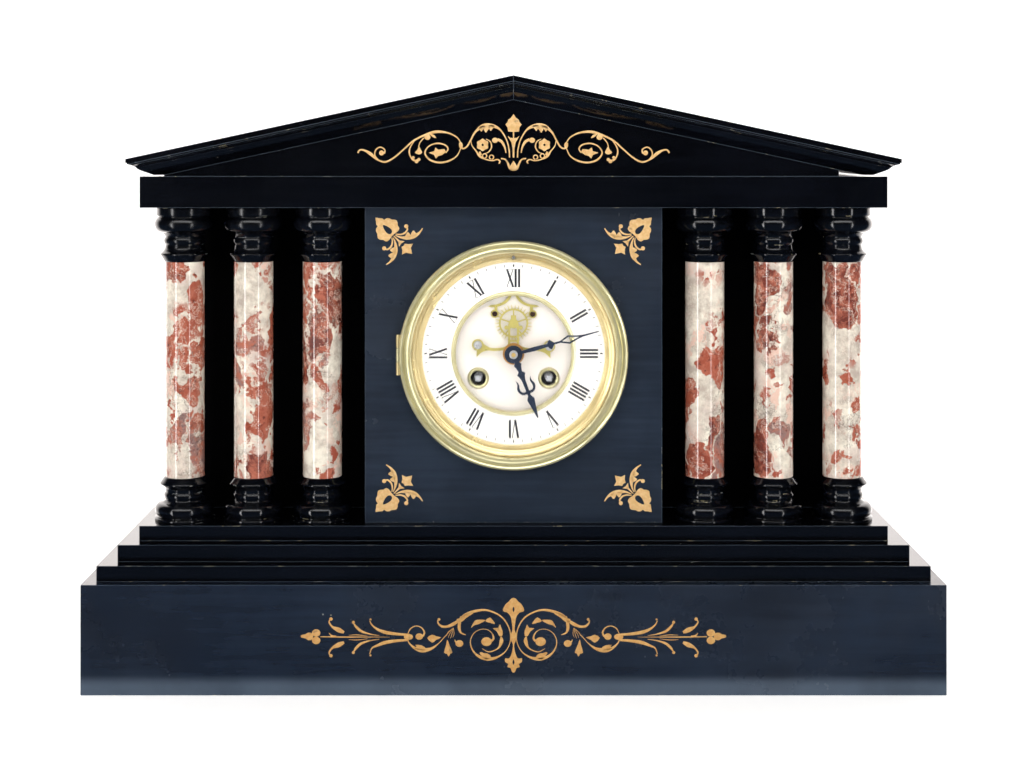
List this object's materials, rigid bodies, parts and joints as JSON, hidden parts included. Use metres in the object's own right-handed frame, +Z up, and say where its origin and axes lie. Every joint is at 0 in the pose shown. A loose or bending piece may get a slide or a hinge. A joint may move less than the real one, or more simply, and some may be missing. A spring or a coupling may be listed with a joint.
{
  "type": "mantel clock",
  "caption": "Portico mantel clock: stepped stone case with column rows, low pediment, hinged glazed round dial, striking movement, bell and pendulum.",
  "frame": {"origin": "centre of the underside, on the surface that the clock stands on", "axes": "+Z up, the dial faces -Y, +X to the viewer's right"},
  "size_m": [0.51, 0.19, 0.366],
  "materials": {
    "slate": "polished black",
    "marble": "polished red and white brecciated",
    "gilt": "gilt",
    "brass": "lacquered and polished",
    "enamel": "glossy white",
    "steel": "polished",
    "blued_steel": "blued",
    "bell_metal": "polished bell metal",
    "glass": "clear bevelled"
  },
  "bodies": {
    "case": {"plinth_front": "slate", "plinth_ends": "slate", "plinth_back": "slate", "plinth_base": "slate", "step_lower": "slate", "step_middle": "slate", "step_upper": "slate", "dial_panel": "slate", "dial_block_sides": "slate", "wing_walls": "slate", "back_panel": "slate", "entablature": "slate", "tympana": "slate", "roof_left": "slate", "roof_right": "slate", "column_shafts": "marble", "column_capitals": "slate", "column_bases": "slate", "sight_ring": "gilt", "bezel_hinge_pin": "brass", "chapter_ring": "enamel", "inner_ring": "brass", "centre_dial": "enamel", "winding_grommets": "brass", "front_plate": "brass", "back_plate": "brass", "pillars": "brass", "movement_straps": "brass", "escapement_cock": "gilt", "bell": "bell_metal", "bell_stand": "brass", "suspension_cock": "brass"},
    "bezel_door": {"bezel": "brass", "bezel_glass": "glass"},
    "back_door": {"back_door": "brass"},
    "regulator": {"regulator_arbor": "steel"},
    "going_winding": {"going_winding_arbor": "steel"},
    "going_pawl": {"going_click": "steel"},
    "strike_winding": {"strike_winding_arbor": "steel"},
    "strike_pawl": {"strike_click": "steel"},
    "centre": {"centre_wheel": "brass"},
    "going_great": {"going_barrel": "brass", "going_mainspring": "steel"},
    "second": {"second_wheel": "brass"},
    "third": {"third_wheel": "brass"},
    "escape": {"escape_wheel": "gilt"},
    "minute": {"minute_hand": "blued_steel"},
    "motion": {"minute_wheel": "brass"},
    "hour": {"hour_hand": "blued_steel"},
    "pendulum": {"pendulum_rod": "steel", "pendulum_bob": "brass"},
    "pallets": {"anchor": "gilt"},
    "pin": {"pin_wheel": "brass"},
    "strike_great": {"strike_barrel": "brass", "strike_mainspring": "steel"},
    "strike_second": {"strike_second_wheel": "brass"},
    "locking": {"locking_wheel": "brass"},
    "warning": {"warning_wheel": "brass"},
    "air_brake": {"fly": "brass"},
    "striker": {"hammer": "steel"}
  },
  "joints": [
    {"name": "bezel_hinge", "type": "hinge", "parent": "case", "child": "bezel_door", "pos_m": [-0.0702, -0.0594, 0.196], "axis": [0, 0, -1], "range_deg": [0, 110]},
    {"name": "back_door_hinge", "type": "hinge", "parent": "case", "child": "back_door", "pos_m": [0.0654, 0.0838, 0.196], "axis": [0, 0, -1], "range_deg": [0, 110]},
    {"name": "regulator_turn", "type": "hinge", "parent": "case", "child": "regulator", "pos_m": [0, -0.0175, 0.2551], "axis": [0, 1, 0], "continuous": true},
    {"name": "going_winding_turn", "type": "hinge", "parent": "case", "child": "going_winding", "pos_m": [0.0218, -0.0175, 0.1802], "axis": [0, 1, 0], "continuous": true},
    {"name": "going_pawl_lift", "type": "hinge", "parent": "case", "child": "going_pawl", "pos_m": [0.02625, -0.0175, 0.16798], "axis": [0, 1, 0], "range_deg": [-12, 0], "stiffness_Nm_per_rad": 0.01, "springref_deg": 5.73},
    {"name": "strike_winding_turn", "type": "hinge", "parent": "case", "child": "strike_winding", "pos_m": [-0.0218, -0.0175, 0.1802], "axis": [0, 1, 0], "continuous": true},
    {"name": "strike_pawl_lift", "type": "hinge", "parent": "case", "child": "strike_pawl", "pos_m": [-0.02625, -0.0175, 0.16798], "axis": [0, 1, 0], "range_deg": [-12, 0], "stiffness_Nm_per_rad": 0.01, "springref_deg": 5.73},
    {"name": "centre_turn", "type": "hinge", "parent": "case", "child": "centre", "pos_m": [0, -0.0175, 0.196], "axis": [0, 1, 0], "continuous": true},
    {"name": "going_barrel_turn", "type": "hinge", "parent": "case", "child": "going_great", "pos_m": [0.0218, -0.0175, 0.1802], "axis": [0, 1, 0], "continuous": true},
    {"name": "second_turn", "type": "hinge", "parent": "case", "child": "second", "pos_m": [0.01405, -0.0175, 0.19989], "axis": [0, 1, 0], "continuous": true},
    {"name": "third_turn", "type": "hinge", "parent": "case", "child": "third", "pos_m": [-0.00956, -0.0175, 0.20574], "axis": [0, 1, 0], "continuous": true},
    {"name": "escape_turn", "type": "hinge", "parent": "case", "child": "escape", "pos_m": [0, -0.0175, 0.2144], "axis": [0, 1, 0], "continuous": true},
    {"name": "minute_hand_turn", "type": "hinge", "parent": "case", "child": "minute", "pos_m": [0, -0.0175, 0.196], "axis": [0, 1, 0], "continuous": true},
    {"name": "minute_wheel_turn", "type": "hinge", "parent": "case", "child": "motion", "pos_m": [0, -0.0175, 0.184], "axis": [0, 1, 0], "continuous": true},
    {"name": "hour_hand_turn", "type": "hinge", "parent": "case", "child": "hour", "pos_m": [0, -0.0175, 0.196], "axis": [0, 1, 0], "continuous": true},
    {"name": "pendulum_swing", "type": "hinge", "parent": "case", "child": "pendulum", "pos_m": [0, 0.013, 0.238], "axis": [0, 1, 0], "range_deg": [-3.5, 3.5]},
    {"name": "pallets_swing", "type": "hinge", "parent": "case", "child": "pallets", "pos_m": [0, 0.013, 0.238], "axis": [0, 1, 0], "range_deg": [-3.5, 3.5]},
    {"name": "pin_wheel_turn", "type": "hinge", "parent": "case", "child": "pin", "pos_m": [-0.02673, -0.0175, 0.21538], "axis": [0, 1, 0], "continuous": true},
    {"name": "strike_barrel_turn", "type": "hinge", "parent": "case", "child": "strike_great", "pos_m": [-0.0218, -0.0175, 0.1802], "axis": [0, 1, 0], "continuous": true},
    {"name": "strike_second_turn", "type": "hinge", "parent": "case", "child": "strike_second", "pos_m": [-0.02547, -0.0175, 0.20104], "axis": [0, 1, 0], "continuous": true},
    {"name": "locking_turn", "type": "hinge", "parent": "case", "child": "locking", "pos_m": [-0.01701, -0.0175, 0.22099], "axis": [0, 1, 0], "continuous": true},
    {"name": "warning_turn", "type": "hinge", "parent": "case", "child": "warning", "pos_m": [-0.00813, -0.0175, 0.22423], "axis": [0, 1, 0], "continuous": true},
    {"name": "fly_turn", "type": "hinge", "parent": "case", "child": "air_brake", "pos_m": [-0.01191, -0.0175, 0.23077], "axis": [0, 1, 0], "continuous": true},
    {"name": "hammer_lift", "type": "hinge", "parent": "case", "child": "striker", "pos_m": [-0.03913, -0.0175, 0.21087], "axis": [0, 1, 0], "range_deg": [-14, 0], "stiffness_Nm_per_rad": 0.1, "springref_deg": 5.73}
  ],
  "couplings": [
    {"joint": "second_turn", "follows": "going_barrel_turn", "ratio": -6.6667},
    {"joint": "centre_turn", "follows": "going_barrel_turn", "ratio": 53.333},
    {"joint": "third_turn", "follows": "going_barrel_turn", "ratio": -640},
    {"joint": "escape_turn", "follows": "going_barrel_turn", "ratio": 8533.3},
    {"joint": "minute_hand_turn", "follows": "going_barrel_turn", "ratio": 53.333},
    {"joint": "minute_wheel_turn", "follows": "going_barrel_turn", "ratio": -17.778},
    {"joint": "hour_hand_turn", "follows": "going_barrel_turn", "ratio": 4.4444},
    {"joint": "pallets_swing", "follows": "pendulum_swing", "ratio": 1},
    {"joint": "strike_second_turn", "follows": "strike_barrel_turn", "ratio": -6.6667},
    {"joint": "pin_wheel_turn", "follows": "strike_barrel_turn", "ratio": 60},
    {"joint": "locking_turn", "follows": "strike_barrel_turn", "ratio": -600},
    {"joint": "warning_turn", "follows": "strike_barrel_turn", "ratio": 4800},
    {"joint": "fly_turn", "follows": "strike_barrel_turn", "ratio": -38400}
  ]
}
